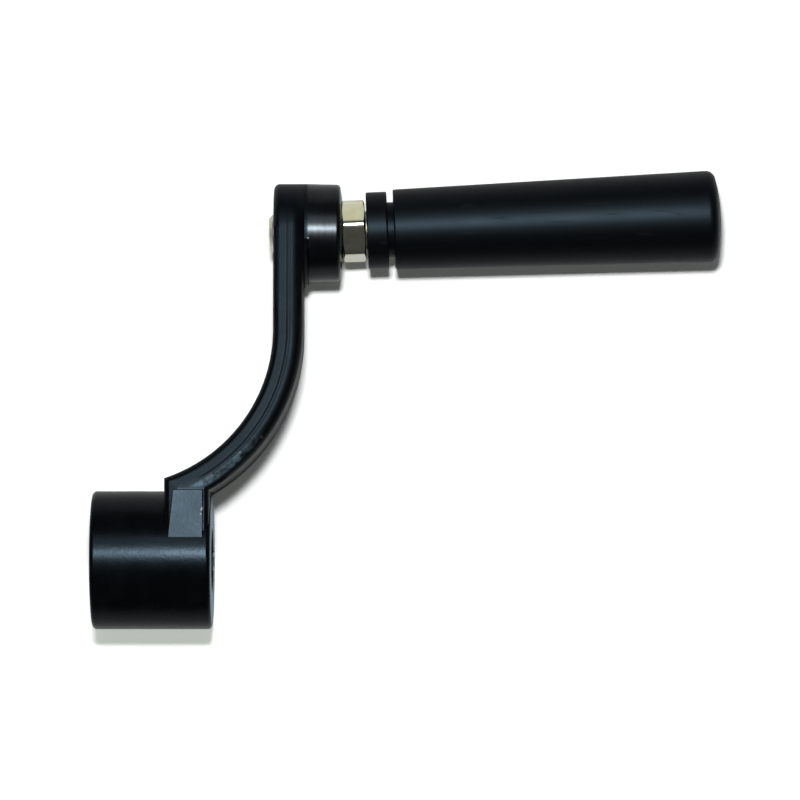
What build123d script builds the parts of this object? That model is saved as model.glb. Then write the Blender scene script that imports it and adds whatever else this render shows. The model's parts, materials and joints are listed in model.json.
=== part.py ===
from build123d import *

import os
from math import acos, asin, cos, degrees, radians, sin, tan

# Crank handle for a machine shaft, with a grip that turns freely.
#
# A black-painted iron casting carries everything. Its hub takes the shaft, and an arm of even
# thickness swings out of the hub in one bend and ends in a boss. A cap screw runs through the
# grip, screws into the boss and is locked there by a thin nut.
#
# Millimetres, +Z up. The origin is where the bore's straight wall begins, inside the mouth in the
# hub's back face. +X runs along the bore towards the grip, and the arm points to +Y. The crank
# lies on its side, on the hub and the boss. The hub is the thicker of the two, so the arm slopes
# down a little towards the boss.

os.makedirs("parts", exist_ok=True)

# ---- Hub ----
hub_radius = 21.0
hub_length = 36.4
hub_rim_rounding = 1.3
bore_radius = 9.0
bore_mouth_chamfer = 1.0
keyway_width = 6.0
keyway_depth = 2.8  # from the bore's wall

# ---- Set screw, M6, square to the arm: it presses on the key ----
set_screw_radius = 3.0
set_screw_length = 8.0
set_screw_place = 17.0  # along the bore
set_screw_sink = 1.0  # below the hub's surface
set_screw_socket = 3.0  # across flats
set_screw_socket_depth = 3.5
set_screw_chamfer = 0.6

# ---- Arm ----
throw = 100.0  # from the bore's axis to the boss's
arm_back = 54.1  # the broad face on the machine's side, along the bore
arm_thickness = 9.0
arm_edge_rounding = 1.8
bend_radius = 47.6  # on the hollow side
bend_end = 69.5  # the straight length begins here, along the arm
root_back = 21.4  # the root block's face on the machine's side, along the bore
root_half_width = 19.8
hub_face_step = 0.4  # the hub's turned face stands this much proud of the root block
head_inset = 0.4  # the arm's rounded end lies this much inside the boss

# ---- Draft and parting line on the arm's sides ----
side_draft = 0.3  # each half of a side falls away by this much
side_ridge_width = 1.0
bead_width = 0.7
bead_height = 0.25

# ---- Pad on the root block's upper side ----
pad_height = 0.5
pad_low = 4.0
pad_high = 20.9
pad_left_low = 22.3
pad_left_high = 24.0
pad_right = 33.2
pad_rounding = 0.3

# ---- Boss ----
boss_radius = 15.0
boss_length = 21.3
boss_draft = 1.0  # degrees
boss_crown = 1.2
boss_back_rounding = 1.8
boss_front_rounding = 1.2
boss_fillet = 1.8  # into the arm's broad face
spot_face_radius = 10.9
spot_face_depth = 0.4  # below the top of the crown
handle_lean = 2.4  # degrees, away from the hub

# ---- Cap screw, M12 ----
screw_radius = 6.0
screw_length = 120.0
screw_tip_reach = 1.4  # past the arm's back face
screw_tip_chamfer = 1.0
screw_head_radius = 9.0
screw_head_height = 12.0
screw_head_chamfer = 0.8
screw_socket = 10.0  # across flats
screw_socket_depth = 6.0

# ---- Thin nut and washer ----
nut_flats = 18.0
nut_height = 7.0
nut_face_inset = 0.5  # from the flats to the rim of the end face
nut_chamfer_angle = 30.0
nut_turn = 14.3  # degrees, a flat's lean from upright
washer_radius = 10.0
washer_hole_radius = 6.5
washer_thickness = 2.0

# ---- Grip ----
grip_length = 108.3
collar_radius = 11.7
collar_length = 6.4
groove_width = 1.9
groove_radius = 8.4
grip_neck_radius = 12.25
grip_swell_radius = 14.0  # where the taper ends
grip_edge_rounding = 0.5
grip_end_rounding = 2.8
grip_dome_radius = 50.0
recess_radius = 10.4  # round the cap screw's head

# ---- Cap that closes the grip's end ----
cap_radius = 11.1
cap_depth = 4.2
cap_wall = 1.6
cap_edge_rounding = 0.4

# ---- Clearances ----
thread_clearance = 0.05
running_clearance = 0.08
grip_end_float = 0.45  # between the nut and the collar
washer_float = 0.2  # between the washer and the grip's shoulder
cap_clearance = 0.03

# ---- Hexagons of the nut and the sockets ----
hexagon_sides = 6
hexagon_half_angle = 180 / hexagon_sides  # degrees, from a flat's middle to a corner
nut_corner_radius = nut_flats / 2 / cos(radians(hexagon_half_angle))

# ---- How far a face's normal points a given way, from 0 to 1 ----
hardly = 0.01
partly = 0.3
mostly = 0.9

# ---- Planes of the crank: flat on the arm's bend, and square to the bore ----
slope = asin((hub_radius - boss_radius) / throw)
up = Vector(0, sin(slope), cos(slope))
crank_plane = Plane(origin=(0, 0, 0), x_dir=(1, 0, 0), z_dir=up)
face_plane = Plane(origin=(0, 0, 0), x_dir=crank_plane.y_dir, z_dir=(1, 0, 0))

# ---- Planes of the handle: along its axis, and square to it at the boss's middle ----
lean = radians(handle_lean)
handle_origin = crank_plane.from_local_coords((arm_back + boss_length / 2, throw, 0))
handle_direction = crank_plane.from_local_coords((cos(lean), sin(lean), 0))
handle_plane = Plane(origin=handle_origin, x_dir=handle_direction, z_dir=up)
handle_face = Plane(origin=handle_origin, x_dir=up, z_dir=handle_direction)
handle_axis = Axis(handle_origin, handle_direction)
boss_axis = Axis(handle_origin, (1, 0, 0))
set_screw_plane = Plane(origin=(set_screw_place, 0, 0), x_dir=(1, 0, 0), z_dir=-up)

# ---- Stations along the handle's axis ----
nut_seat = boss_length / 2 - spot_face_depth
screw_tip = -boss_length / 2 - screw_tip_reach
screw_shoulder = screw_tip + screw_length
screw_head_end = screw_shoulder + screw_head_height
grip_start = nut_seat + nut_height + grip_end_float
collar_end = grip_start + collar_length
body_start = collar_end + groove_width
grip_end = grip_start + grip_length
grip_shoulder = screw_shoulder - washer_thickness - washer_float
cap_seat = grip_end - cap_depth

# ---- The hub's ends, a mouth's chamfer beyond the bore's straight wall ----
hub_back = -bore_mouth_chamfer
hub_front = hub_back + hub_length
bore_end = hub_front - bore_mouth_chamfer

# ---- The arm's outlines ----
arm_front = arm_back + arm_thickness
root_front = hub_front - hub_face_step
bend_centre = (arm_back - bend_radius, bend_end)
arm_middle = arm_back + arm_thickness / 2
root_middle = (root_back + root_front) / 2
boss_front = arm_back + boss_length
boss_front_radius = boss_radius - tan(radians(boss_draft)) * (boss_length - arm_thickness)
head_radius = boss_radius - head_inset
arm_top = throw + boss_radius
side_reach = root_half_width + pad_height + bead_height  # clear of the root block's sides


def bend_arc(radius, x):
    """Arc round the bend's centre, from the straight length down to the line at x."""
    return CenterArc(bend_centre, radius, 0, -degrees(acos((x - bend_centre[0]) / radius)))


def front_outline(root_radius, end_radius):
    """The arm seen along the bore: straight sides that touch a circle at each end."""
    side_angle = degrees(acos((root_radius - end_radius) / throw))
    with BuildSketch(face_plane) as outline:
        with BuildLine():
            end = CenterArc((throw, 0), end_radius, -side_angle, 2 * side_angle)
            root = CenterArc((0, 0), root_radius, side_angle, 360 - 2 * side_angle)
            Line(end @ 1, root @ 0)
            Line(root @ 1, end @ 0)
        make_face()
    return outline.sketch


def is_broad(face):
    """True for the faces that the arm's width spans: their normals lie in the crank's plane."""
    normal = face.normal_at()
    return abs(normal.dot(up)) < hardly and abs(normal.X) > partly


def is_along_side(edge):
    """True for edges above the crank's plane and clear of the bore's axis."""
    place = crank_plane.to_local_coords(edge.center())
    return min(place.Y, place.Z) > arm_edge_rounding


def dome_point(radius):
    """Point of the grip's domed end at this distance from the axis, in the handle's plane."""
    return (grip_end - grip_dome_radius * (1 - cos(asin(radius / grip_dome_radius))), radius)


# ---- Parting bead, round the middle of the arm's sides and down to the root block ----
with BuildPart() as parting_bead:
    with BuildSketch(crank_plane):
        with BuildLine():
            hollow = bend_arc(bend_radius + (arm_thickness - bead_width) / 2, root_middle)
            bulge = bend_arc(bend_radius + (arm_thickness + bead_width) / 2, root_middle)
            bead_back = (hollow @ 0).X
            Polyline(hollow @ 0, (bead_back, throw), (bead_back + bead_width, throw), bulge @ 0)
            Line(hollow @ 1, bulge @ 1)
        make_face()
    extrude(amount=side_reach, both=True)
    outline = front_outline(root_half_width + bead_height, head_radius + bead_height)
    extrude(outline, amount=arm_front, mode=Mode.INTERSECT)

# ---- Raised pad on the root block, rooted halfway into it ----
with BuildPart() as pad:
    with BuildSketch(crank_plane.offset(root_half_width / 2)):
        with BuildLine():
            Polyline(
                (pad_left_low, pad_low),
                (pad_right, pad_low),
                (pad_right, pad_high),
                (pad_left_high, pad_high),
                close=True,
            )
        make_face()
    extrude(amount=side_reach)
    outline = front_outline(root_half_width + pad_height, head_radius + pad_height)
    extrude(outline, amount=arm_front, mode=Mode.INTERSECT)
    tops = pad.faces().filter_by(lambda face: face.normal_at().dot(up) > mostly)
    fillet(tops.sort_by(SortBy.AREA).last.edges(), pad_rounding)

# ---- Fillet between the boss and the arm's broad face, kept inside the arm's outline ----
with BuildPart() as boss_root:
    with BuildSketch(crank_plane):
        with BuildLine():
            low = (arm_front, throw + boss_radius + boss_fillet)
            high = (arm_front + boss_fillet, throw + boss_radius)
            RadiusArc(low, high, boss_fillet)
            Polyline(high, (arm_front + boss_fillet, throw), (arm_middle, throw))
            Polyline((arm_middle, throw), (arm_middle, low[1]), low)
        make_face()
    revolve(axis=boss_axis)
    extrude(front_outline(root_half_width, head_radius), amount=boss_front, mode=Mode.INTERSECT)

# ---- Crank arm: the whole casting, then what is machined in it ----
with BuildPart() as crank_arm:
    # The arm's upper half, drafted and rounded, and the lower half as its mirror image
    with BuildSketch(crank_plane):
        with BuildLine():
            hollow = bend_arc(bend_radius, root_back)
            bulge = bend_arc(bend_radius + arm_thickness, root_front)
            Polyline(hollow @ 0, (arm_back, arm_top), (arm_front, arm_top), bulge @ 0)
            Polyline(hollow @ 1, (root_back, 0), (root_front, 0), bulge @ 1)
        make_face()
    extrude(amount=side_reach)
    extrude(front_outline(root_half_width, head_radius), amount=arm_front, mode=Mode.INTERSECT)
    side = crank_arm.faces().filter_by(lambda face: face.normal_at().dot(up) > mostly)
    side = side.sort_by(SortBy.AREA).last
    broad_faces = crank_arm.faces().filter_by(is_broad)
    rims = side.edges().filter_by(lambda edge: edge in broad_faces.edges())
    ridge_to_rim = (arm_thickness - side_ridge_width) / 2
    chamfer(rims, length=ridge_to_rim, length2=side_draft, reference=side)
    broad_faces = crank_arm.faces().filter_by(is_broad)
    rims = broad_faces.edges().filter_by(is_along_side)
    rims = rims.filter_by(lambda edge: sum(edge in face.edges() for face in broad_faces) == 1)
    fillet(rims, arm_edge_rounding)
    mirror(about=crank_plane)
    add(parting_bead.part)

    add(pad.part)

    # Hub
    with BuildSketch(crank_plane):
        with BuildLine():
            Polyline(
                (hub_back, 0),
                (hub_back, hub_radius),
                (hub_front, hub_radius),
                (hub_front, 0),
                close=True,
            )
        make_face()
        fillet(vertices().sort_by(Axis.Y)[-2:], hub_rim_rounding)
    revolve(axis=Axis.X)

    # Boss: plain where it crosses the arm, then drafted, with a crowned face
    with BuildSketch(crank_plane):
        with BuildLine():
            back_rim = (arm_back, throw + boss_radius)
            front_rim = (boss_front - boss_crown, throw + boss_front_radius)
            draft_start = (arm_front + boss_fillet, throw + boss_radius)
            Polyline((arm_back, throw), back_rim, draft_start, front_rim)
            TangentArc((boss_front, throw), front_rim, tangent=(0, 1))
            Line((boss_front, throw), (arm_back, throw))
        make_face()
        fillet(vertices().sort_by_distance(back_rim)[0], boss_back_rounding)
        fillet(vertices().sort_by_distance(front_rim)[0], boss_front_rounding)
    revolve(axis=boss_axis)
    add(boss_root.part)

    # Shaft bore, with a chamfer at each mouth and a keyway on the underside
    with BuildSketch(crank_plane):
        with BuildLine():
            mouth_radius = bore_radius + bore_mouth_chamfer
            Polyline(
                (hub_back, 0),
                (hub_back, mouth_radius),
                (0, bore_radius),
                (bore_end, bore_radius),
                (hub_front, mouth_radius),
                (hub_front, 0),
                close=True,
            )
        make_face()
    revolve(axis=Axis.X, mode=Mode.SUBTRACT)
    with BuildSketch(face_plane.offset(hub_back)):
        with Locations((0, -(bore_radius + keyway_depth) / 2)):
            Rectangle(keyway_width, bore_radius + keyway_depth)
    extrude(amount=hub_length, mode=Mode.SUBTRACT)

    # Tapped hole for the set screw, from outside into the keyway
    with BuildSketch(set_screw_plane):
        Circle(set_screw_radius + thread_clearance)
    extrude(amount=hub_radius, mode=Mode.SUBTRACT)

    # Tapped hole for the cap screw, with a spot face for the nut
    with BuildSketch(handle_face):
        Circle(screw_radius + thread_clearance)
    extrude(amount=boss_length, both=True, mode=Mode.SUBTRACT)
    with BuildSketch(handle_face.offset(nut_seat)):
        Circle(spot_face_radius)
    extrude(amount=boss_crown + boss_length, mode=Mode.SUBTRACT)

crank_arm.part.label = "crank_arm"
export_step(crank_arm.part, "parts/crank_arm.step")

# ---- Set screw: a socket grub screw, sunk in the hub's underside ----
with BuildPart() as set_screw:
    with BuildSketch(set_screw_plane.offset(hub_radius - set_screw_sink - set_screw_length)):
        Circle(set_screw_radius)
    extrude(amount=set_screw_length)
    chamfer(set_screw.edges().filter_by(GeomType.CIRCLE), set_screw_chamfer)
    with BuildSketch(set_screw_plane.offset(hub_radius - set_screw_sink)):
        RegularPolygon(set_screw_socket / 2, side_count=hexagon_sides, major_radius=False)
    extrude(amount=-set_screw_socket_depth, mode=Mode.SUBTRACT)

set_screw.part.label = "set_screw"
export_step(set_screw.part, "parts/set_screw.step")

# ---- Cap screw: the grip's axle, right through the boss ----
with BuildPart() as cap_screw:
    with BuildSketch(handle_plane):
        with BuildLine():
            Polyline(
                (screw_tip, 0),
                (screw_tip, screw_radius),
                (screw_shoulder, screw_radius),
                (screw_shoulder, screw_head_radius),
                (screw_head_end, screw_head_radius),
                (screw_head_end, 0),
                close=True,
            )
        make_face()
        tip_rim = vertices().sort_by_distance((screw_tip, screw_radius))[0]
        chamfer(tip_rim, screw_tip_chamfer)
        head_rim = vertices().sort_by_distance((screw_head_end, screw_head_radius))[0]
        chamfer(head_rim, screw_head_chamfer)
    revolve(axis=handle_axis)
    with BuildSketch(handle_face.offset(screw_head_end)):
        RegularPolygon(screw_socket / 2, side_count=hexagon_sides, major_radius=False)
    extrude(amount=-screw_socket_depth, mode=Mode.SUBTRACT)

cap_screw.part.label = "cap_screw"
export_step(cap_screw.part, "parts/cap_screw.step")

# ---- Thin nut: locks the cap screw against the boss ----
with BuildPart() as lock_nut:
    with BuildSketch(handle_face.offset(nut_seat)):
        RegularPolygon(
            nut_flats / 2,
            side_count=hexagon_sides,
            major_radius=False,
            rotation=hexagon_half_angle + nut_turn,
        )
    extrude(amount=nut_height)
    with BuildSketch(handle_plane):
        with BuildLine():
            face_rim = nut_flats / 2 - nut_face_inset
            corner_rim = nut_corner_radius + nut_face_inset
            corner_fall = (corner_rim - face_rim) * tan(radians(nut_chamfer_angle))
            Polyline(
                (nut_seat, 0),
                (nut_seat, face_rim),
                (nut_seat + corner_fall, corner_rim),
                (nut_seat + nut_height - corner_fall, corner_rim),
                (nut_seat + nut_height, face_rim),
                (nut_seat + nut_height, 0),
                close=True,
            )
        make_face()
    revolve(axis=handle_axis, mode=Mode.INTERSECT)
    with BuildSketch(handle_face):
        Circle(screw_radius + thread_clearance)
    extrude(amount=nut_seat + nut_height, mode=Mode.SUBTRACT)

lock_nut.part.label = "lock_nut"
export_step(lock_nut.part, "parts/lock_nut.step")

# ---- Washer under the cap screw's head ----
with BuildPart() as washer:
    with BuildSketch(handle_face.offset(screw_shoulder)):
        Circle(washer_radius)
        Circle(washer_hole_radius, mode=Mode.SUBTRACT)
    extrude(amount=-washer_thickness)

washer.part.label = "washer"
export_step(washer.part, "parts/washer.step")

# ---- Grip: one moulding, with a collar, a groove, a long taper and a recess for the head ----
with BuildPart() as grip:
    with BuildSketch(handle_plane):
        with BuildLine():
            swell_rim = dome_point(grip_swell_radius)
            Polyline(
                (grip_start, 0),
                (grip_start, collar_radius),
                (collar_end, collar_radius),
                (collar_end, groove_radius),
                (body_start, groove_radius),
                (body_start, grip_neck_radius),
                swell_rim,
            )
            TangentArc((grip_end, 0), swell_rim, tangent=(0, 1))
            Line((grip_end, 0), (grip_start, 0))
        make_face()
        for corner in (
            (grip_start, collar_radius),
            (collar_end, collar_radius),
            (body_start, grip_neck_radius),
        ):
            fillet(vertices().sort_by_distance(corner)[0], grip_edge_rounding)
        fillet(vertices().sort_by_distance(swell_rim)[0], grip_end_rounding)
    revolve(axis=handle_axis)
    with BuildSketch(handle_plane):
        with BuildLine():
            bore_rim = screw_radius + running_clearance
            Polyline(
                (grip_start, 0),
                (grip_start, bore_rim),
                (grip_shoulder, bore_rim),
                (grip_shoulder, recess_radius),
                (cap_seat, recess_radius),
                (cap_seat, cap_radius),
                (grip_end, cap_radius),
                (grip_end, 0),
                close=True,
            )
        make_face()
    revolve(axis=handle_axis, mode=Mode.SUBTRACT)

grip.part.label = "grip"
export_step(grip.part, "parts/grip.step")

# ---- End cap: a cup pressed into the grip's end, flush with the dome ----
with BuildPart() as end_cap:
    with BuildSketch(handle_plane):
        with BuildLine():
            rim = dome_point(cap_radius - cap_clearance)
            TangentArc((grip_end, 0), rim, tangent=(0, 1))
            Polyline(
                rim,
                (cap_seat, rim[1]),
                (cap_seat, rim[1] - cap_wall),
                (rim[0] - cap_wall, rim[1] - cap_wall),
                (rim[0] - cap_wall, 0),
                (grip_end, 0),
            )
        make_face()
        fillet(vertices().sort_by_distance(rim)[0], cap_edge_rounding)
    revolve(axis=handle_axis)

end_cap.part.label = "end_cap"
export_step(end_cap.part, "parts/end_cap.step")
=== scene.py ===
import json
import logging
from dataclasses import dataclass, field
from enum import Enum
from math import atan2, pi, tau
from typing import Any, Callable, Optional, Sequence, Union

import bpy
import numpy as np
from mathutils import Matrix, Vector


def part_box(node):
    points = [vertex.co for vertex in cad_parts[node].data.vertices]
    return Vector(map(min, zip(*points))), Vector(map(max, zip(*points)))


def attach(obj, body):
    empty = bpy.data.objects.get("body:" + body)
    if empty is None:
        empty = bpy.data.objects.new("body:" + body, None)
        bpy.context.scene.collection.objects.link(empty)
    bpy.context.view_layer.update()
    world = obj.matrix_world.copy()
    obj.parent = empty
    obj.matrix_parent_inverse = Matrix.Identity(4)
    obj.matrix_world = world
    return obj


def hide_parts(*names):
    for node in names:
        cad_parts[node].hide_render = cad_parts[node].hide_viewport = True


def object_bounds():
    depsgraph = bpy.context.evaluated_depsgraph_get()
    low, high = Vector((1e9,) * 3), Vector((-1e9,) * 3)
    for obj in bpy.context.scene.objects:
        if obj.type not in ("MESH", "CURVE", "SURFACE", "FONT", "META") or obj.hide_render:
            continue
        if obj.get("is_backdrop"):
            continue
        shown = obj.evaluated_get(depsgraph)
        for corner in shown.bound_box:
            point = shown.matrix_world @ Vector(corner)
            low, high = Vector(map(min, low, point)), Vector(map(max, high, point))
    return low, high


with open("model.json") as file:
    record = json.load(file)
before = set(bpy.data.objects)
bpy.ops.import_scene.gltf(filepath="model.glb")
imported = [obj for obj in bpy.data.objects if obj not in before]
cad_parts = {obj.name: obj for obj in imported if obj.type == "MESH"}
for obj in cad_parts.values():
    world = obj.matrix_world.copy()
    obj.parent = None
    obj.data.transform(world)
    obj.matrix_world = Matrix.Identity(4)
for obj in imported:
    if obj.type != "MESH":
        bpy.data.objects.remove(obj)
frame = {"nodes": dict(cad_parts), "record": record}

log = logging.getLogger("crank_handle")
MM = 0.001
Pair = tuple[float, float]
Triple = tuple[float, float, float]
Colour = Triple
Array = np.ndarray
Settings = Optional[dict[str, Any]]
Key = Union[int, str]
Inputs = Optional[dict[Key, Any]]
DATUM: Triple = (0.0, 0.0, 0.0)  # the bore's axis at the hub's datum face
BORE: Triple = (1.0, 0.0, 0.0)  # the way that the bore runs


# ---- places in the row's frame


@dataclass(frozen=True)
class Axle:
    """A straight axis with a zero mark, for stations along it and distances from it.

    Attributes:
        origin: The zero mark, in metres.
        direction: Unit vector along the axis.
        up: Unit vector square to the axis, from which angles are counted.
    """

    origin: Array
    direction: Array
    up: Array

    @property
    def side(self) -> Array:
        """Unit vector that completes the right-handed set."""
        return np.cross(self.direction, self.up)

    def place(self, station: Array, radius: Array, angle: Array) -> Array:
        """Turns cylinder coordinates into points.

        Args:
            station: Distances along the axis.
            radius: Distances from the axis.
            angle: Angles from up towards side, in radians.

        Returns:
            Points, with the three coordinates in the last place.
        """
        along = station[..., None] * self.direction
        across = np.cos(angle)[..., None] * self.up + np.sin(angle)[..., None] * self.side
        return self.origin + along + radius[..., None] * across

    def stations(self, node: str) -> Array:
        """Places of a CAD node's corners along the axis."""
        return (corners(node) - self.origin) @ self.direction

    def reach(self, node: str) -> Pair:
        """Lowest and highest station of a CAD node."""
        found = self.stations(node)
        return float(found.min()), float(found.max())

    def farthest(self, node: str) -> Pair:
        """Finds a CAD node's corner that is farthest from the axis.

        Args:
            node: The node's name.

        Returns:
            Its distance from the axis and its angle from up, in radians.
        """
        offset = corners(node) - self.origin
        up, side = offset @ self.up, offset @ self.side
        distance = np.hypot(up, side)
        most = int(distance.argmax())
        return float(distance[most]), atan2(side[most], up[most])


def corners(node: str) -> Array:
    """The corner points of a CAD node, one to a row."""
    vertices = frame["nodes"][node].data.vertices
    found = np.empty(len(vertices) * 3, np.float32)
    vertices.foreach_get("co", found)
    return found.reshape(-1, 3).astype(float)


def handle_axle() -> Axle:
    """The grip's axis, from the joint that it turns on.

    The crank lies on its hub and its boss, which differ in size, so its flat plane slopes.

    Returns:
        The axis, with its zero mark at the joint and its up square to the crank's flat plane.
    """
    joint = frame["record"]["behaviour"]["joints"][0]
    direction = np.array(joint["axis"], float)
    slope = atan2(-direction[2], direction[1])
    up = np.array([0.0, np.sin(slope), np.cos(slope)])
    return Axle(np.array(joint["pos_m"], float), direction, up)


# ---- surfaces on a grid


def grid_faces(rows: int, columns: int) -> Array:
    """Quads of a grid whose last column joins its first, as on a turned piece.

    Args:
        rows: Rows of points.
        columns: Points in each row.

    Returns:
        Four point numbers to each face.
    """
    row, column = np.meshgrid(np.arange(rows - 1), np.arange(columns), indexing="ij")
    after = (column + 1) % columns
    here, above = row * columns, (row + 1) * columns
    return np.stack([here + column, here + after, above + after, above + column], -1).reshape(-1, 4)


def enclosed(points: Array, faces: Array) -> float:
    """Volume inside a closed surface: a sixth of the sum of each triangle's triple product."""
    halves = np.concatenate([faces[:, [0, 1, 2]], faces[:, [0, 2, 3]]])
    a, b, c = points[halves[:, 0]], points[halves[:, 1]], points[halves[:, 2]]
    return float(np.einsum("ij,ij->", a, np.cross(b, c))) / 6


def put(name: str, data: Any) -> bpy.types.Object:
    """Puts a new object with this mesh, lamp or lens in the scene."""
    made = bpy.data.objects.new(name, data)
    bpy.context.scene.collection.objects.link(made)
    return made


class Ends(Enum):
    """How a piece made of rings of points is closed."""

    POLES = "the first and the last ring have shrunk to a point"
    JOINED = "the last ring joins the first, as on a washer"


def solid_of_rings(
    name: str, rings: Array, ends: Ends, crease: float = 32.0
) -> bpy.types.Object:
    """Makes a closed piece out of rings of points, and turns its faces outwards.

    Args:
        name: The piece's name.
        rings: Points, as rings by points round a ring by three coordinates.
        ends: How the piece is closed.
        crease: Edges that turn by more than this many degrees stay sharp.

    Returns:
        The new piece.
    """
    rows, columns = rings.shape[:2]
    points = rings.reshape(-1, 3)
    numbers = np.arange(len(points))
    if ends is Ends.JOINED:
        faces = grid_faces(rows + 1, columns) % len(points)
    else:
        faces = grid_faces(rows, columns)
        numbers[:columns], numbers[-columns:] = 0, len(points) - 1
    if enclosed(points - points.mean(0), faces) < 0:
        faces = faces[:, ::-1]
    used, faces = np.unique(numbers[faces], return_inverse=True)
    faces = faces.reshape(-1, 4)
    round_pole = [face[face != np.roll(face, 1)].tolist() for face in faces]
    mesh = bpy.data.meshes.new(name)
    mesh.from_pydata(points[used], [], round_pole)
    mesh.update()
    mesh.shade_smooth()
    mesh.set_sharp_from_angle(angle=np.radians(crease))
    return put(name, mesh)


def rounded_hexagon(angle: Array, flats: float, power: float = 20.0) -> Array:
    """Distance from the centre to a hexagon's side, with its corners rounded.

    Args:
        angle: Angles from one corner, in radians.
        flats: Width across flats.
        power: How sharp the corners stay.

    Returns:
        The distance at each angle.
    """
    sixth = tau / 6
    from_corner = (angle + sixth / 2) % sixth - sixth / 2
    sides = np.stack([from_corner - sixth / 2, from_corner + sixth / 2])
    return flats / 2 / (np.cos(sides) ** power).sum(0) ** (1 / power)


def hexagon(angle: Array, flats: float) -> Array:
    """Distance from the centre to a sharp hexagon's side, with a corner at each sixth turn."""
    sixth = tau / 6
    return flats / 2 / np.cos(angle % sixth - sixth / 2)


def thread_fall(turns: Array, depth: float) -> Array:
    """How far a thread's surface lies below its crest, with an eighth of each pitch as crest.

    Args:
        turns: Place along the helix in pitches.
        depth: Fall at the root.

    Returns:
        The fall at each place.
    """
    from_crest = np.abs((turns + 0.5) % 1.0 - 0.5)
    return depth * np.clip((from_crest - 1 / 16) / (3 / 8 - 1 / 16), 0.0, 1.0)


# ---- shaders as sums


def operator(operation: str, swapped: bool = False) -> Callable[["Signal", "Amount"], "Signal"]:
    """Makes an operator of the Signal class out of a Math node.

    Args:
        operation: The node's operation.
        swapped: Whether the other amount stands first.

    Returns:
        The operator's method.
    """

    def method(signal: "Signal", other: "Amount") -> "Signal":
        """Adds the node and returns its output."""
        pair = (other, signal) if swapped else (signal, other)
        return signal.sheet.add("ShaderNodeMath", {"operation": operation}, dict(enumerate(pair)))

    return method


class Signal:
    """An output of a shader node that takes part in plain Python sums.

    Of two masks, | gives the larger, where either holds, and & the smaller, where both hold.
    """

    __add__ = __radd__ = operator("ADD")
    __sub__ = operator("SUBTRACT")
    __rsub__ = operator("SUBTRACT", swapped=True)
    __mul__ = __rmul__ = operator("MULTIPLY")
    __truediv__ = operator("DIVIDE")
    __or__ = __ror__ = operator("MAXIMUM")
    __and__ = __rand__ = operator("MINIMUM")

    def __init__(self, sheet: "Sheet", socket: bpy.types.NodeSocket) -> None:
        """Keeps the node sheet and the output."""
        self.sheet = sheet
        self.socket = socket

    def _of(self, function: str) -> "Signal":
        """Adds a Math node that works on one amount."""
        return self.sheet.add("ShaderNodeMath", {"operation": function}, {0: self})

    def __abs__(self) -> "Signal":
        """Self without its sign."""
        return self._of("ABSOLUTE")

    def sine(self) -> "Signal":
        """Sine of self."""
        return self._of("SINE")

    def root(self) -> "Signal":
        """Square root of self."""
        return self._of("SQRT")

    def above(self, edge: float, blur: float) -> "Signal":
        """Mask of where self is past an edge.

        Args:
            edge: Where the mask is half.
            blur: Distance over which it rises.

        Returns:
            A mask that rises smoothly from 0 to 1.
        """
        limits = {"Value": self, "From Min": edge - blur / 2, "From Max": edge + blur / 2}
        return self.sheet.add("ShaderNodeMapRange", {"interpolation_type": "SMOOTHSTEP"}, limits)

    def below(self, edge: float, blur: float) -> "Signal":
        """Mask of where self is short of an edge, soft over blur."""
        return 1 - self.above(edge, blur)


Amount = Union[float, Signal]


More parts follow.
